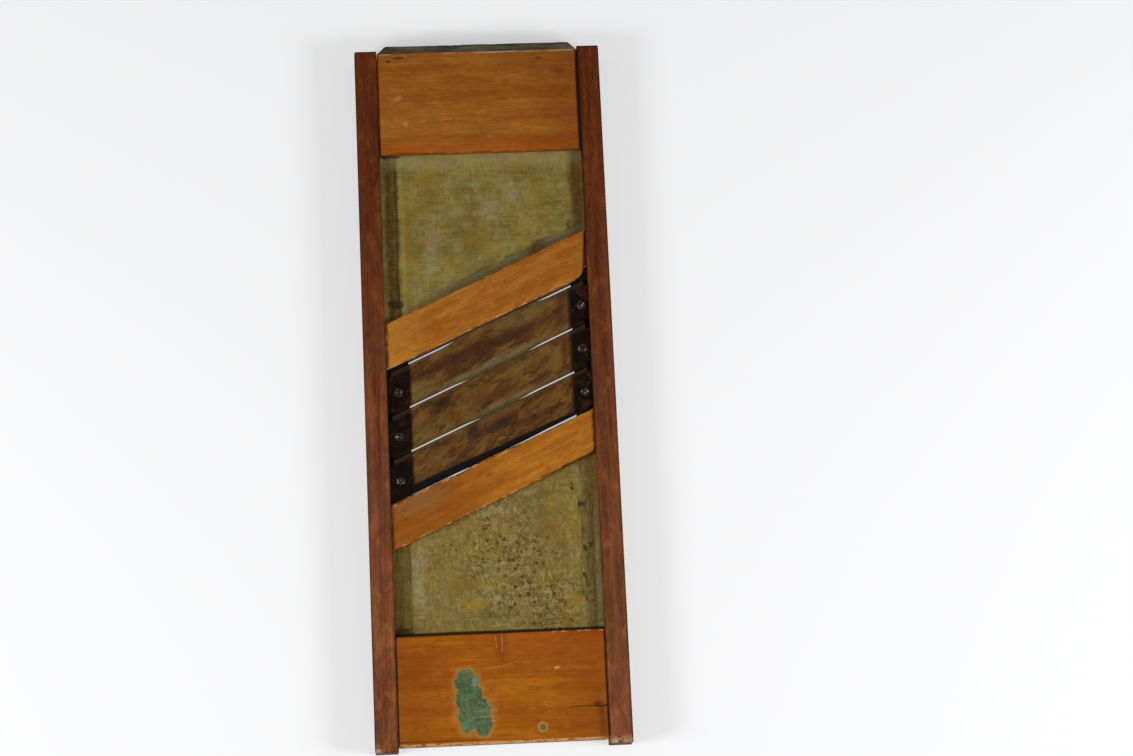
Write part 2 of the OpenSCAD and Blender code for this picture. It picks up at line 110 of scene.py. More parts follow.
# The camera: its place in metres, its axes, and its sensor and lens in millimetres
CAMERA_PLACE = (-0.057225, -0.50742, 2.348107)
CAMERA_RIGHT = (0.99792, -0.04621, 0.04496)
CAMERA_FORWARD = (0.05389, 0.21497, -0.97513)
CAMERA_SENSOR = 36.0
CAMERA_LENS = 81.68
CAMERA_FAR = 50.0


def tone(red, green, blue):
    """The linear colour of a tone that is written from 0 to 255."""
    parts = []
    for part in (red, green, blue):
        share = part / 255
        if share <= 0.04045:
            parts.append(share / 12.92)
        else:
            parts.append(((share + 0.055) / 1.055) ** 2.4)
    return (parts[0], parts[1], parts[2], 1.0)


def slanted(across, along):
    """A place on the cutter, turned to run with the slanted bars and knives."""
    with_bar = across * math.cos(SLANT) + along * math.sin(SLANT)
    square_to_bar = along * math.cos(SLANT) - across * math.sin(SLANT)
    return with_bar, square_to_bar


class Value:
    """A number that changes over a surface. An expression on it adds Math nodes."""

    def __init__(self, finish, socket):
        self.finish = finish
        self.socket = socket

    def math(self, operation, first, second=0.0):
        """A Math node on two numbers."""
        return self.finish.node("ShaderNodeMath", {"operation": operation}, {0: first, 1: second})

    def __add__(self, other):
        return self.math("ADD", self, other)

    def __radd__(self, other):
        return self.math("ADD", other, self)

    def __sub__(self, other):
        return self.math("SUBTRACT", self, other)

    def __rsub__(self, other):
        return self.math("SUBTRACT", other, self)

    def __mul__(self, other):
        return self.math("MULTIPLY", self, other)

    def __rmul__(self, other):
        return self.math("MULTIPLY", other, self)

    def __truediv__(self, other):
        return self.math("DIVIDE", self, other)

    def __pow__(self, other):
        return self.math("POWER", self, other)

    def __abs__(self):
        return self.math("ABSOLUTE", self)

    def least(self, other):
        """The smaller of two numbers."""
        return self.math("MINIMUM", self, other)

    def most(self, other):
        """The larger of two numbers."""
        return self.math("MAXIMUM", self, other)

    def span(self, start, end):
        """0 at start and before it, 1 at end and past it, with a soft step between."""
        settings = {"interpolation_type": "SMOOTHSTEP"}
        sockets = {"Value": self, "From Min": start, "From Max": end}
        return self.finish.node("ShaderNodeMapRange", settings, sockets)

    def band(self, start, end, soft):
        """1 between start and end, fading to 0 over the soft width on both sides."""
        return self.span(start - soft, start + soft) * self.span(end + soft, end - soft)


class Tree:
    """A node tree. Every node in it comes from one method."""

    def __init__(self, owner):
        owner.use_nodes = True
        self.tree = owner.node_tree

    def node(self, kind, settings=None, sockets=None, output=0):
        """Any node: its settings first, then the values or links of its sockets."""
        made = self.tree.nodes.new(kind)
        for name, setting in (settings or {}).items():
            setattr(made, name, setting)
        for name, given in (sockets or {}).items():
            self.put(made.inputs[name], given)
        return Value(self, made.outputs[output])

    def put(self, socket, given):
        """Link a socket to a value that changes over the surface, or set it."""
        if isinstance(given, Value):
            self.tree.links.new(given.socket, socket)
        else:
            socket.default_value = given

    def background(self):
        """1 for what is seen directly, in a mirror or through glass, and 0 for light on the cutter."""
        kind = "ShaderNodeLightPath"
        seen = self.node(kind, output="Is Camera Ray").most(self.node(kind, output="Is Glossy Ray"))
        return seen.most(self.node(kind, output="Is Transmission Ray"))


class Finish(Tree):
    """One procedural material. Its places are millimetres on the cutter, turned where a piece is slanted."""

    def __init__(self, name, turn=0.0):
        self.material = bpy.data.materials.new(name)
        super().__init__(self.material)
        self.shader = self.tree.nodes["Principled BSDF"]
        metres = self.node("ShaderNodeTexCoord", output="Object")
        placing = {"Vector": metres, "Rotation": (0.0, 0.0, -turn), "Scale": (MILLIMETRES,) * 3}
        self.place = self.node("ShaderNodeMapping", {"vector_type": "POINT"}, placing)
        self.x = self.node("ShaderNodeSeparateXYZ", {}, {0: self.place}, "X")
        self.y = self.node("ShaderNodeSeparateXYZ", {}, {0: self.place}, "Y")
        self.z = self.node("ShaderNodeSeparateXYZ", {}, {0: self.place}, "Z")

    def mix(self, factor, first, second):
        """A colour between two others, by a share from 0 to 1."""
        return self.node("ShaderNodeMix", {"data_type": "RGBA"}, {0: factor, 6: first, 7: second}, 2)

    def stretched(self, size, seed, lean=0.0):
        """The place, scaled so that a pattern repeats about once in each of these lengths."""
        scale = (1.0 / size[0], 1.0 / size[1], 1.0 / size[2])
        shift = (seed * 3.1, seed * 5.3, seed * 1.7)
        place = self.place
        if lean:
            turning = {"Vector": place, "Rotation": (0.0, 0.0, -lean)}
            place = self.node("ShaderNodeMapping", {"vector_type": "POINT"}, turning)
        sockets = {0: place, 1: scale, 2: shift}
        return self.node("ShaderNodeVectorMath", {"operation": "MULTIPLY_ADD"}, sockets)

    def noise(self, size, seed, detail=3.0, roughness=0.55, distortion=0.0, lean=0.0):
        """Cloudy noise of about this size, mostly between 0.3 and 0.7."""
        sockets = {"Vector": self.stretched(size, seed, lean), "Scale": 1.0, "Detail": detail}
        sockets.update({"Roughness": roughness, "Distortion": distortion})
        return self.node("ShaderNodeTexNoise", {}, sockets)

    def specks(self, size, seed):
        """Distance from scattered points: near 0 in the middle of each speck."""
        sockets = {"Vector": self.stretched(size, seed), "Scale": 1.0}
        return self.node("ShaderNodeTexVoronoi", {"feature": "F1"}, sockets, "Distance")

    def wobble(self, size, seed, amount, detail=3.0):
        """Noise to both sides of 0, which makes a rim uneven."""
        return (self.noise(size, seed, detail) - 0.5) * amount

    def ground(self, factor, dark, fair):
        """Start the finish's colour, between a dark tone and a fair one."""
        self.colour = self.mix(factor, dark, fair)

    def blend(self, factor, shade):
        """Lay a shade over the finish's colour, by a share from 0 to 1."""
        self.colour = self.mix(factor, self.colour, shade)

    def blotches(self, size, seed, strength, dark, light):
        """Uneven darker and lighter blotches over the finish's colour."""
        blotch = self.noise(size, seed, 5, 0.64, 0.6)
        self.blend(blotch.span(0.53, 0.66) * strength, dark)
        self.blend(blotch.span(0.47, 0.34) * strength, light)

    def blob(self, across, along, half_width, half_height):
        """Distance from a spot: 0 in its middle and 1 at its rim."""
        over = (self.x - across) / half_width
        up = (self.y - along) / half_height
        return (over * over + up * up) ** 0.5

    def line(self, start, end):
        """Distance in millimetres from a straight line between two places."""
        step = Vector(end) - Vector(start)
        over = self.x - start[0]
        up = self.y - start[1]
        share = over * (step.x / step.length_squared) + up * (step.y / step.length_squared)
        share = share.most(0.0).least(1.0)
        miss_over = over - share * step.x
        miss_up = up - share * step.y
        return (miss_over * miss_over + miss_up * miss_up) ** 0.5

    def spots(self, *places):
        """Distance from the nearest spot. Each place gives its middle and half its width and height."""
        nearest = self.blob(*places[0])
        for place in places[1:]:
            nearest = nearest.least(self.blob(*place))
        return nearest

    def lines(self, *ends):
        """Distance in millimetres from the nearest line. Each pair gives a line's two ends."""
        nearest = self.line(*ends[0])
        for pair in ends[1:]:
            nearest = nearest.least(self.line(*pair))
        return nearest

    def close(self, roughness, height, metallic, specular):
        """Join the finish to its shader. The height is in millimetres."""
        self.put(self.shader.inputs["Base Color"], self.colour)
        self.put(self.shader.inputs["Roughness"], roughness)
        self.put(self.shader.inputs["Metallic"], metallic)
        self.shader.inputs["Specular IOR Level"].default_value = specular
        sockets = {"Strength": 1.0, "Distance": 1 / MILLIMETRES, "Height": height}
        self.put(self.shader.inputs["Normal"], self.node("ShaderNodeBump", {}, sockets))
        return self.material


class WoodFinish(Finish):
    """Wood, with the streaks, pores and clouds that every wooden piece has."""

    def __init__(self, name, seed, run, turn, broad, fine, pores, cloud, swirl):
        super().__init__(name, turn)
        self.run = run
        self.broad = self.streaks(*broad, seed).span(0.3, 0.7)
        self.fine = self.streaks(*fine, seed + 3, 4).span(0.28, 0.72)
        self.pores = self.streaks(*pores, seed + 6, 2).span(0.6, 0.74)
        self.cloud = self.noise(cloud, seed + 9, 5, 0.6, swirl).span(0.35, 0.68)

    def with_grain(self, length, width):
        """A size that is long with the grain and narrow across it."""
        if self.run == "X":
            return (length, width, width)
        return (width, length, width)

    def streaks(self, length, width, seed, detail=3.0):
        """Noise drawn out along the grain."""
        return self.noise(self.with_grain(length, width), seed, detail, 0.6, 0.25)

    def grit(self, seed):
        """Fine dirt in the grain, from 0 to 1."""
        return self.noise(self.with_grain(9, 2.6), seed, 5, 0.68, 0.2).span(0.36, 0.64)


def rail_finish(name, side, seed):
    """Dark red-brown stain on a long rail, paler and greyer towards the foot."""
    grain = {"broad": (190, 10), "fine": (75, 1.4), "pores": (15, 0.5), "cloud": (30, 70, 30), "swirl": 0.4}
    wood = WoodFinish(name, seed, "Y", 0.0, **grain)
    to_foot = wood.y.span(330, -330)
    outward = wood.x * side
    near_top = wood.z.span(RAIL_TOP - 7, RAIL_TOP - 2)
    deep = wood.mix(to_foot, tone(60, 23, 4), tone(80, 39, 18))
    fair = wood.mix(to_foot, tone(120, 57, 17), tone(150, 89, 49))
    wood.ground(wood.fine * 0.45 + wood.broad * 0.55, deep, fair)
    wood.blend(wood.grit(seed + 21) * 0.42, wood.mix(to_foot, tone(46, 18, 4), tone(66, 35, 19)))
    wood.blend(wood.cloud * 0.45, wood.mix(to_foot, tone(72, 33, 16), tone(96, 59, 46)))
    dark_stain = wood.mix(to_foot, tone(54, 20, 10), tone(78, 44, 34))
    light_stain = wood.mix(to_foot, tone(116, 54, 16), tone(150, 88, 50))
    wood.blotches((12, 26, 12), seed + 24, 0.45, dark_stain, light_stain)
    wood.blend(wood.pores * 0.5, tone(40, 18, 8))
    grime = wood.noise((3, 40, 3), seed + 12, 3).span(0.3, 0.65)
    inner_arris = outward.span(RAIL_INNER + 1.4, RAIL_INNER + 0.2) * 0.5
    arris = outward.span(RAIL_OUTER - 3.2, RAIL_OUTER - 0.4).most(inner_arris)
    wood.blend(arris * (grime * 0.4 + 0.3), tone(44, 20, 10))
    if side > 0:
        # Painted shade: a dark strip on the right rail's inner top edge beside the head board, standing in
        # for the shade there.
        head_joint_shade = outward.span(RAIL_INNER + 2.8, RAIL_INNER + 0.6) * wood.y.span(205, 222) * near_top
        wood.blend(head_joint_shade * 0.8, tone(30, 14, 7))
    scuffs = wood.noise((26, 1.1, 26), seed + 15, 3).span(0.67, 0.75)
    wood.blend(scuffs * 0.22, tone(150, 104, 70))
    nicks = wood.specks((19, 47, 19), seed + 17)
    wood.blend(nicks.span(0.07, 0.03) * 0.7, tone(40, 18, 8))
    rings = wood.noise((9, 60, 1.8), seed + 20, 4, 0.6, 0.6).span(0.35, 0.65)
    ends = wood.y.span(RAIL_FOOT + 0.9, RAIL_FOOT + 0.3).most(wood.y.span(RAIL_HEAD - 0.9, RAIL_HEAD - 0.3))
    wood.blend(ends * 0.8, wood.mix(rings, tone(40, 21, 12), tone(80, 47, 28)))
    chips = wood.noise((5, 4, 5), seed + 18, 4)
    if side < 0:
        foot_place = outward.span(RAIL_OUTER - 9, RAIL_OUTER - 2)
    else:
        foot_place = outward.span(RAIL_OUTER, RAIL_INNER + 5) * 0.5 + 0.5
    bare = wood.y.span(RAIL_FOOT + 9, RAIL_FOOT + 1) * foot_place * chips.span(0.4, 0.53) * near_top
    wood.blend(bare * 0.9, tone(178, 142, 108))
    rough = 0.5 + wood.fine * 0.12 + wood.cloud * 0.12
    height = wood.fine * 0.12 + wood.broad * 0.1 - wood.pores * 0.15 - bare * 0.5
    return wood.close(rough, height, 0.0, WOOD_SHINE)


def head_finish(name, seed):
    """Orange-brown varnish on the head board, with a dark slope along its top, partly grime and partly
    painted shade.
    """
    grain = {"broad": (170, 12), "fine": (60, 1.3), "pores": (13, 0.5), "cloud": (45, 22, 30), "swirl": 0.5}
    wood = WoodFinish(name, seed, "X", 0.0, **grain)
    near_top = wood.z.span(BOARD_TOP - 3.5, BOARD_TOP - 1.1)
    wood.ground(wood.fine * 0.35 + wood.broad * 0.65, tone(126, 69, 12), tone(168, 105, 36))
    wood.blend(wood.grit(seed + 21) * 0.28, tone(94, 48, 10))
    wood.blend(wood.cloud * 0.5, tone(121, 69, 25))
    wood.blotches((18, 8, 10), seed + 24, 0.35, tone(110, 58, 14), tone(158, 100, 40))
    low_wear = wood.y + wood.wobble((24, 6, 6), seed + 10, 14)
    wood.blend(low_wear.span(HEAD_LOW + 20, HEAD_LOW + 4) * 0.55, tone(146, 67, 8))
    to_right = wood.x.span(30, 95)
    wood.blend(to_right * 0.45, tone(104, 49, 10))
    wood.blend(wood.pores * 0.5, tone(62, 32, 10))
    # Dark joints at the board's ends. The right one is widened with painted shade, standing in for the right
    # rail's shadow on the board.
    joint = wood.x.span(BOARD_END - 3.3, BOARD_END - 0.9).most(wood.x.span(1.9 - BOARD_END, 0.3 - BOARD_END))
    wood.blend(joint * 0.75, tone(42, 20, 8))
    bitten = wood.noise((9, 3, 3), seed + 11).span(0.4, 0.55)
    low_edge = wood.y.span(HEAD_LOW + 1.6, HEAD_LOW + 0.4) * bitten
    wood.blend(low_edge * near_top * 0.6, tone(70, 32, 10))
    wood.blend((1 - near_top) * 0.45, tone(92, 50, 18))
    slope_low = HEAD_TOP - HEAD_SLOPE
    # The slope's dark grey-brown is partly grime and partly painted shade.
    slope = wood.y.span(slope_low - 0.4, slope_low + 0.6)
    rubbed = wood.noise((30, 5, 5), seed + 12, 4).span(0.35, 0.7)
    wood.blend(slope, wood.mix(rubbed, tone(62, 51, 38), tone(96, 83, 68)))
    under_slope = wood.y.span(slope_low - 16, slope_low - 1) * (1 - slope)
    wood.blend(under_slope * 0.25, tone(104, 66, 30))
    arris = wood.y.band(slope_low - 1.0, slope_low, 0.5) * wood.noise((22, 4, 4), seed + 13).span(0.4, 0.6)
    wood.blend(arris * near_top * 0.65, tone(190, 160, 118))
    dents = wood.spots((58.3, 316.4, 3.4, 2.0), (-74, 320, 6, 1.6), (-84, 317, 3, 1.6))
    dents = dents + wood.wobble((4, 4, 4), seed + 14, 0.8)
    wood.blend(dents.span(1.2, 0.5) * near_top * 0.7, tone(60, 34, 14))
    worn = wood.blob(76, 305, 9, 5) + wood.wobble((6, 6, 6), seed + 15, 1.4)
    wood.blend(worn.span(1.2, 0.3) * near_top * 0.4, tone(70, 38, 20))
    smudge = wood.spots((-75.9, 280, 5, 4), (-70, 254, 3, 4))
    smudge = smudge + wood.wobble((5, 5, 5), seed + 16, 2.4, 4)
    wood.blend(smudge.span(1.2, 0.1) * near_top * 0.4, tone(178, 134, 80))
    rough = 0.44 + wood.fine * 0.12 + wood.cloud * 0.12
    height = wood.fine * 0.1 + wood.broad * 0.1 - wood.pores * 0.12
    return wood.close(rough, height, 0.0, WOOD_SHINE)


def foot_finish(name, seed):
    """Golden-orange varnish on the foot board, scratched, chipped and marked with old green paint."""
    grain = {"broad": (180, 13), "fine": (60, 1.3), "pores": (12, 0.5), "cloud": (50, 24, 30), "swirl": 0.6}
    wood = WoodFinish(name, seed, "X", 0.0, **grain)
    near_top = wood.z.span(BOARD_TOP - 3.5, BOARD_TOP - 1.1)
    wood.ground(wood.fine * 0.35 + wood.broad * 0.65, tone(132, 66, 6), tone(174, 103, 19))
    wood.blend(wood.grit(seed + 22) * 0.22, tone(104, 50, 6))
    wood.blend(wood.cloud * 0.5, tone(136, 68, 9))
    wood.blotches((18, 8, 10), seed + 24, 0.4, tone(122, 58, 6), tone(172, 104, 26))
    wood.blend(abs(wood.x).span(30, 88) * 0.5, tone(116, 58, 8))
    redder = (wood.y + (wood.cloud - 0.5) * 22).span(-266, -232) * wood.x.span(-60, 10)
    wood.blend(redder * 0.4, tone(144, 60, 8))
    wood.blend(wood.pores * 0.45, tone(78, 38, 8))
    joint = abs(wood.x).span(BOARD_END - 1.9, BOARD_END - 0.2)
    wood.blend(joint * 0.75, tone(42, 20, 8))
    wood.blend((1 - near_top) * 0.5, tone(98, 56, 20))
    wander = wood.wobble((9, 9, 9), seed + 12, 7, 4)
    stain = wood.line((88, -296), (90, -322)) + wander
    wood.blend(stain.span(6, 0) * near_top * 0.5, tone(70, 34, 12))
    crack = abs(wood.y + 298.5 + wood.wobble((16, 16, 16), seed + 13, 5))
    crack = crack.span(1.0, 0.35) * wood.x.span(54, 64) * (0.4 + wood.x.span(60, 90) * 0.5) * near_top
    wood.blend(crack, tone(54, 26, 10))
    knot = wood.blob(85, -297, 4, 3) + wander * 0.1
    wood.blend(knot.span(1.2, 0.4) * near_top * 0.65, tone(60, 30, 12))
    worn = wood.line((-0.3, -233), (1, -249)) + wander
    wood.blend(worn.span(9, 2) * near_top * 0.45, tone(104, 44, 10))
    scratch = wood.lines(((-4.6, -232), (-3.6, -243)), ((1.6, -231), (1.2, -247)))
    scratch = scratch + wood.wobble((2, 5, 2), seed + 14, 0.9)
    wood.blend(scratch.span(0.75, 0.1) * near_top * 0.25, tone(206, 160, 90))
    bruise = wood.blob(50, -263, 3.2, 1.4) + wood.wobble((3, 2, 2), seed + 20, 1.4)
    wood.blend(bruise.span(1.2, 0.3) * near_top * 0.55, tone(214, 176, 120))
    upper_dabs = ((-32.2, -273, 10.4, 10.5), (-29.6, -287, 12.2, 14), (-25.8, -300, 14.6, 14.5))
    lower_dabs = ((-18.5, -309, 8.4, 12.5), (-32.5, -308, 6.8, 11))
    rim = wood.spots(*upper_dabs, *lower_dabs) + wood.wobble((7, 7, 7), seed + 15, 0.8, 4)
    halo = rim.span(1.6, 1.0) * near_top
    wood.blend(halo * 0.55, tone(150, 116, 56))
    flaked = wood.noise((3.2, 3.2, 3.2), seed + 16, 3).span(0.68, 0.74)
    streak = wood.blob(-31.6, -292, 2.0, 8) + wood.wobble((3, 5, 3), seed + 22, 1.6)
    bare = (streak.span(1.4, 0.2) * 0.5).most(wood.blob(-26.9, -320, 2.3, 5.5).span(1.2, 0.8))
    paint = rim.span(1.05, 0.95) * (1 - bare.most(flaked) * 0.75) * near_top
    thin = wood.noise((5, 5, 5), seed + 21, 4).span(0.5, 0.68)
    faded = wood.noise((12, 12, 12), seed + 17, 4).span(0.3, 0.7)
    green = wood.mix(faded, tone(46, 78, 54), tone(80, 106, 74))
    dabs = wood.noise((2.6, 2.6, 2.6), seed + 23, 4, 0.6, 0.4)
    green = wood.mix(dabs.span(0.54, 0.66) * 0.6, green, tone(36, 60, 34))
    green = wood.mix(dabs.span(0.46, 0.34) * 0.5, green, tone(98, 122, 88))
    # Painted sheen: a pale bluish highlight on the green paint.
    painted_sheen = wood.blob(-24.8, -274, 3, 6) + (dabs - 0.5) * 2
    green = wood.mix(painted_sheen.span(1.3, 0.3) * 0.55, green, tone(122, 138, 122))
    green = wood.mix(thin * wood.y.span(-284, -270) * 0.5, green, tone(96, 82, 36))
    wood.blend(paint * 0.95, green)
    low_scratches = (((-27, -299.4), (-5, -299)), ((-29, -305), (-6, -304.6)), ((-14, -309), (-7, -308.4)))
    high_scratch = ((-16, -262), (10, -258))
    lines = wood.lines(*low_scratches, high_scratch) + wood.wobble((6, 2, 2), seed + 19, 1.0)
    wood.blend(lines.span(0.7, 0.1) * near_top * 0.2, tone(206, 164, 104))
    drop = wood.blob(35, -316, 3.2, 3.6) + wood.wobble((3, 3, 3), seed + 18, 1.2)
    wood.blend(drop.span(1.7, 1.1) * near_top * 0.45, tone(176, 142, 84))
    wood.blend(drop.span(1.0, 0.7) * near_top * 0.85, tone(66, 90, 40))
    chipped = wood.noise((9, 3, 5), seed + 18, 4)
    top_chips = wood.y.span(FOOT_TOP - 2.2, FOOT_TOP - 0.8) * chipped.span(0.48, 0.6) * wood.x.span(20, 50)
    low_chips = wood.y.span(FOOT_LOW + 3.0, FOOT_LOW + 1.0) * chipped.span(0.38, 0.5)
    bare_wood = top_chips.most(low_chips) * wood.z.span(BOARD_TOP - 6.5, BOARD_TOP - 2.5)
    wood.blend(bare_wood * 0.8, tone(196, 152, 94))
    under = wood.y.band(FOOT_LOW + 3.4, FOOT_LOW + 5.0, 0.8) * wood.x.span(20, -40) * near_top
    wood.blend(under * 0.55, tone(84, 34, 12))
    rough = 0.44 + wood.fine * 0.12 + wood.cloud * 0.1 + paint * 0.15
    height = wood.fine * 0.1 + wood.broad * 0.1 - wood.pores * 0.12
    height = height + paint * 0.12 - bare_wood * 0.3 - crack * 0.4
    return wood.close(rough, height, 0.0, WOOD_SHINE)


def bar_finish(name, seed, fair, end_tone, low, high):
    """Golden varnish on a slanted bar, rubbed along both edges by sliding cabbage."""
    grain = {"broad": (150, 9), "fine": (55, 1.2), "pores": (12, 0.5), "cloud": (36, 18, 30), "swirl": 0.5}
    wood = WoodFinish(name, seed, "X", SLANT, **grain)
    near_top = wood.z.span(BAR_TOP - 3.5, BAR_TOP - 1.1)
    across = wood.x * math.cos(SLANT) - wood.y * math.sin(SLANT)
    wood.ground(wood.fine * 0.4 + wood.broad * 0.6, tone(130, 75, 18), fair)
    wood.blend(wood.grit(seed + 21) * 0.26, tone(104, 56, 12))
    wood.blend(wood.cloud * 0.5, tone(142, 75, 15))
    wood.blend(wood.pores * 0.5, tone(80, 44, 12))
    wood.blotches((15, 8, 10), seed + 24, 0.4, tone(124, 64, 12), tone(178, 114, 42))
    left = wood.x.span(-10, -95)
    wood.blend(left * 0.6, end_tone)
    wood.blend((1 - near_top) * 0.5, tone(84, 46, 16))
    chips = wood.noise((7, 2.2, 4), seed + 12, 4)
    edges = wood.y.span(low + 1.5, low + 0.4).most(wood.y.span(high - 1.4, high - 0.4)) * near_top
    pale_chips = edges * chips.span(0.5, 0.62)
    wood.blend(pale_chips * 0.6, tone(200, 160, 98))
    wood.blend(edges * chips.span(0.48, 0.38) * 0.7, tone(70, 38, 14))
    flecks = wood.specks((24, 13, 13), seed + 13) + (wood.fine - 0.5) * 0.06
    wood.blend(flecks.span(0.1, 0.04) * 0.5, tone(84, 46, 18))
    if low == UPPER_BAR_LOW:
        # Painted shadow: a dark wedge on the bar's top beside the right rail, narrow at the bar's upper edge
        # and wider lower down.
        rail_end_shadow = RAIL_INNER - across - (high - wood.y) * 0.1 + (chips - 0.5) * 1.2
        wood.blend(rail_end_shadow.span(1.8, 0.4) * 0.85, tone(40, 19, 9))
        reddish = wood.noise((13, 9, 9), seed + 15, 4, 0.6, 0.6).span(0.56, 0.68)
        wood.blend(reddish * 0.45, tone(150, 72, 12))
    else:
        spot_over, spot_up = slanted(-66, -107)
        patch = wood.blob(spot_over, spot_up, 27, 9) + wood.wobble((16, 5, 8), seed + 14, 2.2, 5)
        wood.blend(patch.span(1.2, 0.5) * near_top * 0.4, tone(128, 98, 62))
        knot_over, knot_up = slanted(-4, -84)
        knots = wood.spots((knot_over, knot_up, 5, 2), (knot_over - 44, knot_up + 8, 3, 2))
        wood.blend(knots.span(1.2, 0.4) * near_top * 0.5, tone(84, 46, 20))
        # Painted shade: a dark line along the bar's lower edge, on its right half.
        lower_edge_shade = (wood.y + (chips - 0.5) * 3).span(low + 2.4, low + 1.0) * wood.x.span(-10, 30) * near_top
        wood.blend(lower_edge_shade * 0.85, tone(34, 18, 10))
    rough = 0.44 + wood.fine * 0.12 + wood.cloud * 0.1
    height = wood.fine * 0.1 + wood.broad * 0.1 - wood.pores * 0.12 - pale_chips * 0.25
    return wood.close(rough, height, 0.0, WOOD_SHINE)


class SheetFinish(Finish):
    """Tarnished sheet metal, with the clouds, strokes and mottle that both bed plates share."""

    def __init__(self, name, seed, dark, fair):
        super().__init__(name)
        self.cloud = self.noise((32, 30, 30), seed, 4, 0.6, 0.5).span(0.3, 0.7)
        self.blotch = self.noise((15, 13, 13), seed + 2, 4, 0.58, 0.4)
        self.down = self.noise((1.8, 30, 5), seed + 4, 4).span(0.3, 0.7)
        self.along = self.noise((28, 1.8, 5), seed + 5, 4).span(0.3, 0.7)
        self.mottle = self.noise((4.5, 4.5, 4.5), seed + 6, 5, 0.65, 0.4).span(0.3, 0.7)
        self.from_left = self.x + RAIL_INNER + self.wobble((9, 26, 9), seed + 8, 6, 4)
        self.from_right = RAIL_INNER - self.x + self.wobble((9, 26, 9), seed + 9, 6, 4)
        self.ground(self.cloud, dark, fair)
        self.blend(self.mottle * 0.5, tone(80, 63, 22))
        self.blend(self.blotch.span(0.52, 0.66) * 0.6, tone(132, 104, 26))
        self.blend(self.blotch.span(0.46, 0.34) * 0.5, tone(134, 126, 88))
        greenish = self.noise((24, 22, 22), seed + 14, 4, 0.6, 0.5).span(0.5, 0.64)
        self.blend(greenish * 0.38, tone(106, 108, 58))
        self.blotches((8, 7, 7), seed + 15, 0.45, tone(98, 78, 16), tone(132, 124, 76))
        self.blotches((13, 12, 12), seed + 16, 0.4, tone(82, 74, 30), tone(142, 122, 62))
        self.blend(self.down * 0.24, tone(76, 60, 22))
        self.blend(self.along * 0.24, tone(148, 130, 70))

    def patches(self, strength, shade, *places):
        """Soft, uneven patches. Each place gives its middle and half its width and height."""
        nearest = self.spots(*places) + (self.blotch - 0.5) * 3 + (self.mottle - 0.5) * 0.7
        self.blend(nearest.span(1.5, 0.2) * strength, shade)

    def close_sheet(self, pitting):
        """Join a bed plate's finish to its shader."""
        rough = 0.48 + self.cloud * 0.16 + self.mottle * 0.08
        height = self.mottle * 0.06 + self.down * 0.04 + self.cloud * 0.25 - pitting * 0.1
        return self.close(rough, height, 0.2, 0.1)


def upper_plate_finish(name, seed):
    """The sheet above the knives: olive, blotched with ochre and grey, with dark worn bands at its sides."""
    sheet = SheetFinish(name, seed, tone(99, 85, 33), tone(137, 122, 64))
    ochre_left = ((-53, 202, 13, 7), (-60, 173, 10, 6), (-71, 138, 4, 32))
    ochre_right = ((52, 186, 8, 15), (-8, 143, 13, 7), (34, 212, 12, 5))
    sheet.patches(0.55, tone(118, 90, 14), *ochre_left, *ochre_right)
    sheet.patches(0.5, tone(134, 124, 94), (-49, 137, 8, 24), (6, 171, 9, 11), (28, 187, 9, 7))
    from_left = sheet.from_left
    from_right = sheet.from_right
    sheet.blend(from_left.band(3.6, 15, 2.4) * (0.55 + sheet.mottle * 0.35), tone(67, 42, 7))
    sheet.blend(from_left.band(12.6, 15.4, 1.4) * (0.3 + sheet.down * 0.55), tone(40, 26, 7))
    sheet.blend(from_left.band(17.6, 21, 2.2) * 0.3, tone(152, 134, 62))
    sheet.blend(from_right.band(1.2, 12.5, 3.4) * (0.5 + sheet.mottle * 0.3), tone(75, 46, 8))
    rust = sheet.specks((9, 13, 9), seed + 10) + (sheet.mottle - 0.5) * 0.25
    sheet.blend(rust.span(0.24, 0.06) * from_right.span(28, 12) * 0.7, tone(112, 58, 20))
    sheet.blend(rust.span(0.14, 0.04) * 0.4, tone(96, 62, 24))
    sheet.blend(sheet.y.span(207, 221) * 0.4, tone(146, 134, 90))
    # Painted shadow of the upper bar on the plate: a greyer band along the bar's upper edge with a dark rim,
    # fading out towards the left.
    from_bar = sheet.y * math.cos(SLANT) - sheet.x * math.sin(SLANT) - UPPER_BAR_HIGH
    from_bar = from_bar + (sheet.blotch - 0.5) * 7
    beside = sheet.x.span(-66, -40)
    sheet.blend(from_bar.span(10, 7.6) * beside * 0.55, tone(90, 83, 57))
    broken = sheet.noise((26, 26, 26), seed + 12, 2).span(0.4, 0.6)
    sheet.blend(from_bar.band(7.6, 9.4, 1.1) * beside * broken * 0.6, tone(54, 44, 22))
    sheet.patches(0.9, tone(76, 46, 12), (47.6, 130, 12, 7))
    sheet.patches(0.7, tone(40, 24, 9), (80, 152, 3, 5))
    # Painted shade in the plate's corners by the left rail, at the head board and at the upper bar.
    corner_shade = sheet.spots((-86, 226, 13, 4), (-84, 81, 10, 5)) + (sheet.mottle - 0.5) * 0.6
    sheet.blend(corner_shade.span(1.2, 0.5) * 0.85, tone(36, 25, 12))
    return sheet.close_sheet(rust.span(0.14, 0.04))


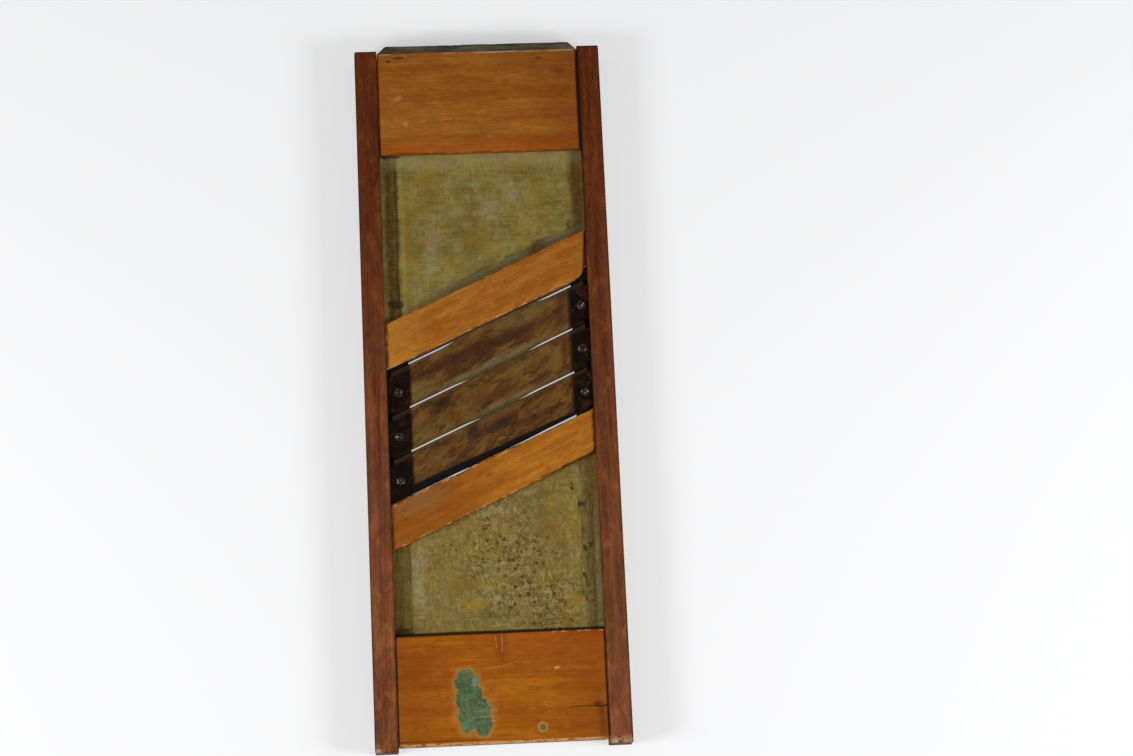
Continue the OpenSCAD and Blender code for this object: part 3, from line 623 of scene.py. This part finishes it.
def lower_plate_finish(name, seed):
    """The sheet below the knives: olive grey, brushed, pitted and rust-stained."""
    sheet = SheetFinish(name, seed, tone(104, 86, 35), tone(147, 125, 65))
    sheet.patches(0.5, tone(138, 132, 100), (4, -116, 13, 5), (28, -102, 9, 5), (-10, -190, 8, 9))
    sheet.patches(0.5, tone(112, 76, 26), (12, -130, 14, 8), (46, -134, 9, 12), (-34, -182, 9, 12))
    sheet.patches(0.45, tone(132, 112, 30), (69, -124, 7, 20), (-12, -150, 16, 9))
    from_left = sheet.from_left
    from_right = sheet.from_right
    sheet.blend(from_left.span(19, 14) * 0.65, tone(99, 78, 25))
    sheet.blend(from_left.band(14, 17, 1.6) * (0.2 + sheet.down * 0.5), tone(52, 38, 13))
    sheet.blend(from_left.span(17, 12) * sheet.down * 0.5, tone(56, 43, 14))
    pale_left = (sheet.blob(-71, -180, 6, 34) + (sheet.blotch - 0.5) * 2).span(1.4, 0.1)
    sheet.blend(pale_left * 0.45, tone(148, 140, 108))
    sheet.blend(from_right.band(3.4, 15.5, 2) * (0.5 + sheet.down * 0.25), tone(95, 77, 41))
    strip = sheet.x + (sheet.mottle - 0.5) * 0.8
    sheet.blend(strip.band(90, 94, 1.2) * sheet.y.span(-112, -160) * 0.5, tone(152, 144, 112))
    sheet.patches(0.6, tone(128, 80, 22), (88, -78, 5, 7))
    pits = sheet.specks((6.4, 6.4, 6.4), seed + 10) + (sheet.mottle - 0.5) * 0.35
    middle = (sheet.line((-5.8, -148), (42, -201)) + (sheet.cloud - 0.5) * 40).span(54, 10)
    light_web = abs(sheet.noise((7, 8, 8), seed + 19, 4, 0.6, 0.8) - 0.5).span(0.06, 0.015)
    sheet.blend(light_web * (middle * 0.35 + 0.1), tone(160, 142, 92))
    sheet.blend(pits.span(0.36, 0.1) * middle * 0.92, tone(56, 36, 11))
    web = abs(sheet.noise((9, 9, 9), seed + 11, 5, 0.65) - 0.5).span(0.04, 0.008)
    sheet.blend(web * (middle * 0.5 + 0.2), tone(68, 45, 16))
    strokes = abs(sheet.noise((7, 15, 9), seed + 13, 5, 0.65, 0.5) - 0.5).span(0.05, 0.01)
    sheet.blend(strokes * 0.36, tone(90, 68, 22))
    dark_lines = sheet.noise((2.4, 15, 5), seed + 17, 4, 0.6).span(0.52, 0.63)
    sheet.blend(from_right.band(4, 19, 3) * dark_lines * 0.6, tone(52, 42, 18))
    low_lines = sheet.noise((22, 1.8, 5), seed + 18, 4, 0.6).span(0.5, 0.62)
    sheet.blend(sheet.y.span(-196, -216) * low_lines * 0.45, tone(76, 74, 34))
    high_spots = ((72, -97, 2, 5), (79, -113, 3, 3.4), (81, -154, 3, 2.4), (86, -151, 2.4, 2.6))
    low_spots = ((79, -179, 2.2, 3.6), (81, -200, 2.4, 3.4), (61, -204, 2, 2.4))
    spots = sheet.spots(*high_spots, *low_spots) + (sheet.mottle - 0.5) * 1.4
    sheet.blend(spots.span(1.2, 0.3) * 0.8, tone(36, 26, 12))
    sheet.patches(0.55, tone(146, 112, 20), (-20, -203, 11, 6))
    arc = abs(sheet.blob(70, -214, 12, 13) - 1) * 12 + (sheet.mottle - 0.5) * 4
    sheet.blend(arc.span(4.4, 0.2) * sheet.x.span(80, 64) * 0.55, tone(114, 74, 14))
    run = abs(sheet.x - 56 + (sheet.mottle - 0.5) * 4)
    sheet.blend(run.span(3, 0.4) * sheet.y.band(-146, -118, 9) * 0.45, tone(124, 90, 18))
    # Painted shade in the plate's corner by the left rail, at the foot board.
    corner_shade = sheet.blob(-88, -226, 13, 7) + (sheet.mottle - 0.5) * 0.9
    sheet.blend(corner_shade.span(1.2, 0.5) * 0.85, tone(38, 28, 14))
    # Painted shadow: a black line on the plate along the foot board's top edge.
    sheet.blend(sheet.y.span(FOOT_TOP + 4.2, FOOT_TOP + 2.6) * 0.9, tone(20, 13, 7))
    return sheet.close_sheet(pits.span(0.3, 0.12) * middle)


class KnifeFinish(Finish):
    """Brown tarnished steel of one knife: smears, scratches and a greyer ground bevel."""

    def __init__(self, name, seed, edge):
        super().__init__(name, SLANT)
        self.from_edge = edge - self.y
        self.across = self.x * math.cos(SLANT) - self.y * math.sin(SLANT)
        self.cloud = self.noise((40, 12, 12), seed, 4, 0.6, 0.6, 0.2)
        self.smear = self.noise((24, 7, 7), seed + 2, 4, 0.6, 0.7, 0.3)
        self.scratches = self.noise((24, 0.9, 4), seed + 4, 4).span(0.3, 0.7)
        self.mottle = self.noise((4, 3, 3), seed + 6, 5, 0.62, 0.4).span(0.3, 0.7)
        self.ground(self.cloud.span(0.38, 0.62), tone(58, 29, 8), tone(98, 63, 21))
        self.blend(self.smear.span(0.51, 0.62) * 0.8, tone(42, 19, 9))
        self.blend(self.smear.span(0.47, 0.36) * 0.65, tone(106, 79, 32))
        self.blend(self.scratches * 0.34, tone(42, 22, 8))
        self.blend(self.mottle * 0.38, tone(106, 71, 27))
        self.blotches((15, 8, 8), seed + 8, 0.5, tone(46, 24, 16), tone(112, 82, 40))
        self.blend(self.from_edge.span(3.2, 2.6) * 0.3, tone(96, 76, 45))

    def stain(self, strength, shade, *places, ragged=2.6):
        """Soft, uneven stains. Each place: across, depth below the edge, half a length and half a width."""
        for across, depth, half_length, half_width in places:
            over = (self.across - across) / half_length
            down = (self.from_edge - depth) / half_width
            reach = (over * over + down * down) ** 0.5 + (self.smear - 0.5) * ragged
            self.blend(reach.span(1.4, 0.2) * strength, shade)

    def rub(self, middle, half_length, width, strength):
        """A grey-green band along the back, where shreds of cabbage pass."""
        along = abs(self.across - middle).span(half_length + 14, half_length - 10)
        start = KNIFE_REACH - width
        down = (self.from_edge + (self.cloud - 0.5) * 9).span(start - 3, start + 2)
        uneven = self.scratches * 0.45 + self.mottle * 0.3 + 0.4
        self.blend(down * (0.25 + along * 0.75) * uneven * strength, tone(112, 102, 66))

    def close_knife(self):
        """Darken the knife's ends beside the clips and join the finish to its shader."""
        ends = self.across.span(LEFT_CLIP - RAIL_INNER + 2.4, LEFT_CLIP - RAIL_INNER - 0.4)
        right_end = RAIL_INNER - RIGHT_CLIP
        ends = ends.most(self.across.span(right_end - 5, right_end - 1.4))
        self.blend(ends * 0.9, tone(26, 14, 9))
        rough = 0.44 + self.cloud * 0.2 + self.mottle * 0.08
        height = self.mottle * 0.03 + self.scratches * 0.03 + self.cloud * 0.12
        return self.close(rough, height, 0.3 * (1 - ends), 0.1)


def upper_knife_finish(name, seed):
    """The first knife: a long dark smear, olive by its edge and pale along its back."""
    steel = KnifeFinish(name, seed, UPPER_EDGE)
    steel.stain(0.55, tone(104, 88, 46), (40, 5, 26, 6), (-66, 24, 10, 9))
    steel.rub(2, 42, 5.5, 0.72)
    steel.stain(0.75, tone(50, 24, 15), (-26, 14, 46, 6), (26, 17, 40, 5))
    steel.stain(0.6, tone(52, 32, 30), (69, 13, 5, 11))
    return steel.close_knife()


def middle_knife_finish(name, seed):
    """The middle knife: an almost black spot, a reddish smear and an olive right end."""
    steel = KnifeFinish(name, seed, MIDDLE_EDGE)
    steel.stain(0.5, tone(104, 84, 36), (30, 9, 30, 7), (62, 18, 8, 12), (-60, 26, 14, 8))
    steel.rub(14, 28, 3.6, 0.6)
    steel.stain(0.9, tone(32, 20, 13), (-46, 9, 10, 7), ragged=1.1)
    steel.stain(0.65, tone(66, 32, 12), (4, 23, 20, 4.4), (70, 14, 3.4, 15))
    return steel.close_knife()


def lower_knife_finish(name, seed):
    """The last knife: dark stains in its middle, and a painted black shadow along its back beside the bar.
    """
    steel = KnifeFinish(name, seed, LOWER_EDGE)
    steel.stain(0.5, tone(98, 68, 30), (-52, 12, 18, 9), (50, 10, 20, 7))
    steel.stain(0.85, tone(36, 20, 18), (-17, 9, 7, 9), (8, 12, 20, 5.4), ragged=1.3)
    steel.stain(0.55, tone(50, 27, 14), (40, 21, 18, 5))
    # Painted shadow: a black band along the back, wide at the left and narrowing to the right, where the
    # lower bar shades the knife.
    width = 5.6 - steel.across * 0.027
    black = steel.from_edge - KNIFE_REACH + width + (steel.cloud - 0.5) * 3
    steel.blend(black.span(-1.2, 1.0), tone(6, 4, 3))
    return steel.close_knife()


def iron_finish(name, seed):
    """Black iron with thin rust."""
    iron = Finish(name)
    cloud = iron.noise((11, 11, 8), seed, 5, 0.65, 0.8)
    pits = iron.noise((1.8, 1.8, 1.8), seed + 2, 3).span(0.35, 0.7)
    iron.ground(cloud.span(0.3, 0.7), tone(9, 5, 3), tone(24, 12, 6))
    iron.blend(cloud.span(0.54, 0.68) * 0.6, tone(66, 34, 14))
    iron.blend(pits * 0.3, tone(8, 5, 4))
    rough = 0.5 + cloud * 0.25
    height = pits * 0.15 + cloud * 0.4
    return iron.close(rough, height, 0.0, 0.03)


def screw_finish(name, seed):
    """Dark screw steel, with small bright spots painted on as glints."""
    steel = Finish(name)
    cloud = steel.noise((2.6, 2.6, 2.6), seed, 4)
    grit = steel.noise((0.9, 0.9, 0.9), seed + 2, 3).span(0.35, 0.7)
    steel.ground(cloud.span(0.35, 0.65), tone(20, 12, 8), tone(48, 33, 21))
    steel.blend(grit * 0.4, tone(20, 13, 9))
    # Painted glints: bright beige spots that stand in for highlights on the screw heads.
    steel.blend(cloud.span(0.58, 0.68) * 0.9, tone(184, 164, 128))
    return steel.close(0.4 + cloud * 0.3, grit * 0.08, 0.3, 0.15)


def nail_finish(name, seed):
    """Dull nail heads, brown with rust."""
    steel = Finish(name)
    cloud = steel.noise((3, 3, 3), seed, 4)
    grit = steel.noise((0.8, 0.8, 0.8), seed + 2, 3).span(0.35, 0.7)
    steel.ground(cloud.span(0.35, 0.65), tone(44, 34, 28), tone(92, 72, 56))
    steel.blend(grit * 0.5, tone(86, 48, 24))
    return steel.close(0.5 + cloud * 0.3, grit * 0.06, 0.4, 0.3)


def dress(material, *names):
    """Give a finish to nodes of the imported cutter."""
    for name in names:
        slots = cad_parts[name].data.materials
        slots.clear()
        slots.append(material)


def even_cuts(low, high, step):
    """Places at even steps between two ends, in millimetres."""
    count = int((high - low) / step)
    return [low + step * (index + 0.5) for index in range(count)]


def cut_across(shape, square, places):
    """Cut a shape by planes at these distances along a direction, adding edges that wear can follow."""
    for place in places:
        everything = shape.verts[:] + shape.edges[:] + shape.faces[:]
        middle = square * (place / MILLIMETRES)
        bmesh.ops.bisect_plane(shape, geom=everything, dist=CUT_WITHIN, plane_co=middle, plane_no=square)


def edge_share(normal, turned):
    """0 on a flat face and 1 on an edge, from how far the surface leans off the piece's own faces."""
    leaning = turned @ normal
    flat = max(abs(leaning.x), abs(leaning.y), abs(leaning.z))
    return min((1 - flat) / EDGE_LEAN, 1)


def ramp(number, start, end):
    """0 at start and before it, 1 at end and past it, with a soft step between."""
    share = max(0, min(1, (number - start) / (end - start)))
    return share * share * (3 - 2 * share)


def merged_copy(name):
    """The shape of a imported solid, with its loose triangles joined."""
    shape = bmesh.new()
    shape.from_mesh(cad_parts[name].data)
    bmesh.ops.remove_doubles(shape, verts=shape.verts, dist=JOINED_WITHIN)
    return shape


def finished_piece(shape, name, body, material):
    """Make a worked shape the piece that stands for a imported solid."""
    for face in shape.faces:
        face.smooth = True
        face.material_index = 0
    mesh = bpy.data.meshes.new("worn_" + name)
    shape.to_mesh(mesh)
    shape.free()
    mesh.set_sharp_from_angle(angle=SHARP_ANGLE)
    mesh.materials.append(material)
    piece = bpy.data.objects.new("worn_" + name, mesh)
    bpy.context.scene.collection.objects.link(piece)
    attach(piece, body)
    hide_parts(name)


def lower_bar_lip(place):
    """How far the lower bar's top edge stands out over the last knife's back, in millimetres."""
    across = place.x * MILLIMETRES
    square_to_bar = slanted(across, place.y * MILLIMETRES)[1]
    on_edge = ramp(square_to_bar, LOWER_BAR_HIGH - 3, LOWER_BAR_HIGH - 1.2)
    on_edge *= ramp(place.z * MILLIMETRES, BAR_TOP - 2, BAR_TOP - 1.4)
    worn_left = 0.55 * ramp(across, -43, -35) * ramp(across, -19, -27)
    worn_right = 0.6 * ramp(across, 4, 38)
    return LIP_REACH * on_edge * (1 - max(worn_left, worn_right))


def worn_piece(name, material, turn, cuts, foot_chips, seed, lip=None):
    """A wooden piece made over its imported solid, with rubbed and nicked edges."""
    shape = merged_copy(name)
    turned = Matrix.Rotation(-turn, 3, "Z")
    back = turned.transposed()
    for axis, places in zip(Matrix.Identity(3), cuts):
        cut_across(shape, back @ axis, places)
    shape.normal_update()
    own_wear = Vector((seed * 37, seed * 11, 0))
    moves = []
    for vert in shape.verts:
        edge = edge_share(vert.normal, turned)
        place = vert.co * MILLIMETRES + own_wear
        rub = max(0.5 + noise.noise(place / RUB_LENGTH), 0)
        nick = max(noise.noise(place / NICK_LENGTH) - 0.18, 0)
        depth = edge * (EVEN_WEAR + RUB_WEAR * rub + NICK_WEAR * nick)
        if foot_chips:
            near_foot = max(0, min(1, (foot_chips - vert.co.y * MILLIMETRES) / 4))
            chip = max(noise.noise(place / CHIP_LENGTH + Vector((5, 2, 8))) + 0.1, 0)
            depth += edge * near_foot * chip * CHIP_WEAR
        move = vert.normal * (-depth / MILLIMETRES)
        if lip:
            move += back @ Vector((0, lip(vert.co) / MILLIMETRES, 0))
        moves.append(move)
    for vert, move in zip(shape.verts, moves):
        vert.co += move
    finished_piece(shape, name, "frame", material)


def fullness(across, reach, half_length):
    """How far a knife's side stands out, in millimetres: most in the middle, and nothing at the ends."""
    full_within = half_length - 8
    none_beyond = half_length + 16
    return reach * ramp(abs(across - KNIFE_FULLEST), none_beyond, full_within)


def worn_knife(name, body, material, edge, edge_fullness, back_fullness):
    """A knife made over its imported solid, a little fuller in its middle, where the throats look closed."""
    shape = merged_copy(name)
    cut_across(shape, Vector((1, 0, 0)), even_cuts(-KNIFE_CUT_END, KNIFE_CUT_END, 3))
    level = math.cos(KNIFE_TILT)
    uphill = Vector((-math.sin(SLANT) * level, math.cos(SLANT) * level, math.sin(KNIFE_TILT)))
    for vert in shape.verts:
        across = vert.co.x * MILLIMETRES
        from_edge = edge - slanted(across, vert.co.y * MILLIMETRES)[1]
        if from_edge < KNIFE_SIDE:
            vert.co += uphill * (fullness(across, *edge_fullness) / MILLIMETRES)
        if from_edge > KNIFE_REACH - KNIFE_SIDE:
            vert.co -= uphill * (fullness(across, *back_fullness) / MILLIMETRES)
    finished_piece(shape, name, body, material)


# Rails, cut across, along and up so that wear can follow their edges
rail_along = even_cuts(RAIL_FOOT, RAIL_HEAD, 5) + [RAIL_FOOT + 1, RAIL_FOOT + 4, RAIL_FOOT + 6]
rail_up = [0.5, 5, 10, 15, 24.5, 29.4]
left_cuts = (even_cuts(-RAIL_OUTER, -RAIL_INNER, 3), rail_along, rail_up)
right_cuts = (even_cuts(RAIL_INNER, RAIL_OUTER, 3), rail_along, rail_up)
rail_chips = RAIL_FOOT + 3
left_stain = rail_finish("stained_left_rail", -1, 1.0)
right_stain = rail_finish("stained_right_rail", 1, 4.0)
worn_piece("left_rail", left_stain, 0.0, left_cuts, rail_chips, 1)
worn_piece("right_rail", right_stain, 0.0, right_cuts, rail_chips, 2)

# Boards
board_across = even_cuts(-BOARD_END, BOARD_END, 4)
board_up = [15, 18, 25, 28]
head_along = [HEAD_LOW + 0.6, HEAD_LOW + 3, 260, 290, 310, HEAD_TOP - 9.5, HEAD_TOP - 7.5, HEAD_TOP - 1]
foot_along = [FOOT_LOW + 0.6, FOOT_LOW + 1.8, FOOT_LOW + 4, -300, -270, FOOT_TOP - 3, FOOT_TOP - 0.6]
head_cuts = (board_across, head_along, board_up)
foot_cuts = (board_across, foot_along, board_up)
foot_chips = FOOT_LOW + 2.5
head_varnish = head_finish("varnished_head_board", 2.0)
foot_varnish = foot_finish("varnished_foot_board", 5.0)
worn_piece("head_board", head_varnish, 0.0, head_cuts, None, 3)
worn_piece("foot_board", foot_varnish, 0.0, foot_cuts, foot_chips, 4)

# Bars, cut along their own slant
bar_along = even_cuts(-140, 140, 4)
bar_up = [14, 18, 25.4, 26.2, 27]
upper_across = [UPPER_BAR_LOW + 0.8, UPPER_BAR_LOW + 3, 75, UPPER_BAR_HIGH - 3, UPPER_BAR_HIGH - 0.8]
lower_across = [LOWER_BAR_LOW + 0.8, LOWER_BAR_LOW + 3, -81, LOWER_BAR_HIGH - 3, LOWER_BAR_HIGH - 0.8]
upper_cuts = (bar_along, upper_across, bar_up)
lower_cuts = (bar_along, lower_across, bar_up)
upper_tones = (tone(174, 113, 38), tone(182, 124, 46))
lower_tones = (tone(194, 126, 38), tone(118, 58, 12))
upper_gold = bar_finish("golden_upper_bar", 3.0, *upper_tones, UPPER_BAR_LOW, UPPER_BAR_HIGH)
lower_gold = bar_finish("golden_lower_bar", 6.0, *lower_tones, LOWER_BAR_LOW, LOWER_BAR_HIGH)
worn_piece("upper_bar", upper_gold, SLANT, upper_cuts, None, 5)
worn_piece("lower_bar", lower_gold, SLANT, lower_cuts, None, 6, lower_bar_lip)

# Plates, knives, iron and fasteners
dress(upper_plate_finish("tarnished_upper_plate", 7.0), "upper_bed_plate")
dress(lower_plate_finish("tarnished_lower_plate", 8.0), "lower_bed_plate")
upper_steel = upper_knife_finish("tarnished_upper_knife", 9.0)
middle_steel = middle_knife_finish("tarnished_middle_knife", 10.0)
lower_steel = lower_knife_finish("tarnished_lower_knife", 11.0)
worn_knife("upper_knife", "upper_blade", upper_steel, UPPER_EDGE, (1.9, 37.5), (1.7, 28.5))
worn_knife("middle_knife", "middle_blade", middle_steel, MIDDLE_EDGE, (0, 30), (1.7, 19.5))
worn_knife("lower_knife", "lower_blade", lower_steel, LOWER_EDGE, (0, 30), (0.55, 30))
black_iron = iron_finish("rusted_black_iron", 12.0)
dress(black_iron, "left_knife_bracket", "right_knife_bracket")
dress(black_iron, "upper_left_clip", "middle_left_clip", "lower_left_clip")
dress(black_iron, "upper_right_clip", "middle_right_clip", "lower_right_clip")
screw_steel = screw_finish("screw_steel_with_painted_glints", 13.0)
dress(screw_steel, "left_knife_screws", "right_knife_screws", "left_bracket_screws", "right_bracket_screws")
nail_steel = nail_finish("rusted_nail_steel", 14.0)
dress(nail_steel, "head_board_nails", "foot_board_nails", "upper_bar_nails", "lower_bar_nails")


def make_floor():
    """A plain pale floor that keeps the cutter's shadow. It isn't seen from below."""
    shape = bmesh.new()
    bmesh.ops.create_grid(shape, x_segments=1, y_segments=1, size=FLOOR_HALF)
    bmesh.ops.translate(shape, verts=shape.verts, vec=(0.0, 0.0, -FLOOR_DROP))
    mesh = bpy.data.meshes.new("floor")
    shape.to_mesh(mesh)
    shape.free()
    floor = bpy.data.objects.new("floor", mesh)
    bpy.context.scene.collection.objects.link(floor)
    pale = Finish("pale_floor")
    pale.shader.inputs["Base Color"].default_value = FLOOR_COLOUR
    pale.shader.inputs["Roughness"].default_value = 1.0
    pale.shader.inputs["Specular IOR Level"].default_value = 0.0
    glow = pale.node("ShaderNodeEmission", {}, {"Color": GLOW_COLOUR, "Strength": 1.0})
    share = pale.background() * GLOW_SHARE
    lit = Value(pale, pale.shader.outputs[0])
    both = pale.node("ShaderNodeMixShader", {}, {0: share, 1: lit, 2: glow})
    below = pale.node("ShaderNodeNewGeometry", output="Backfacing")
    clear = pale.node("ShaderNodeBsdfTransparent")
    either = pale.node("ShaderNodeMixShader", {}, {0: below, 1: both, 2: clear})
    pale.put(pale.tree.nodes["Material Output"].inputs["Surface"], either)
    mesh.materials.append(pale.material)


def make_world():
    """Soft light from all round, seen as white."""
    world = bpy.data.worlds.new("studio")
    sky = Tree(world)
    light = sky.tree.nodes["Background"]
    light.inputs["Color"].default_value = SKY_COLOUR
    sky.put(light.inputs["Strength"], sky.background() * SKY_SEEN_MORE + SKY_LIGHT)
    bpy.context.scene.world = world


def make_lamp(name, place):
    """A soft square lamp that faces the middle of the cutter."""
    data = bpy.data.lights.new(name, "AREA")
    data.energy = LAMP_WATTS
    data.size = LAMP_SIZE
    lamp = bpy.data.objects.new(name, data)
    lamp.location = place
    lamp.rotation_euler = (-Vector(place)).to_track_quat("-Z", "Y").to_euler()
    bpy.context.scene.collection.objects.link(lamp)


def make_camera():
    """The view from over the foot, with the cutter leaning back and turned a little."""
    data = bpy.data.cameras.new("camera")
    data.sensor_fit = "HORIZONTAL"
    data.sensor_width = CAMERA_SENSOR
    data.lens = CAMERA_LENS
    data.clip_end = CAMERA_FAR
    camera = bpy.data.objects.new("camera", data)
    right = Vector(CAMERA_RIGHT)
    forward = Vector(CAMERA_FORWARD)
    right = (right - forward * right.dot(forward) / forward.length_squared).normalized()
    backward = -forward.normalized()
    up = backward.cross(right)
    turned = Matrix((right, up, backward)).transposed().to_4x4()
    camera.matrix_world = Matrix.Translation(CAMERA_PLACE) @ turned
    bpy.context.scene.collection.objects.link(camera)
    bpy.context.scene.camera = camera


make_floor()
make_world()
make_lamp("left_lamp", (-1.77, -0.64, 1.13))
make_lamp("right_lamp", (1.77, -0.64, 1.13))
make_camera()
bpy.context.scene.view_settings.view_transform = "Standard"
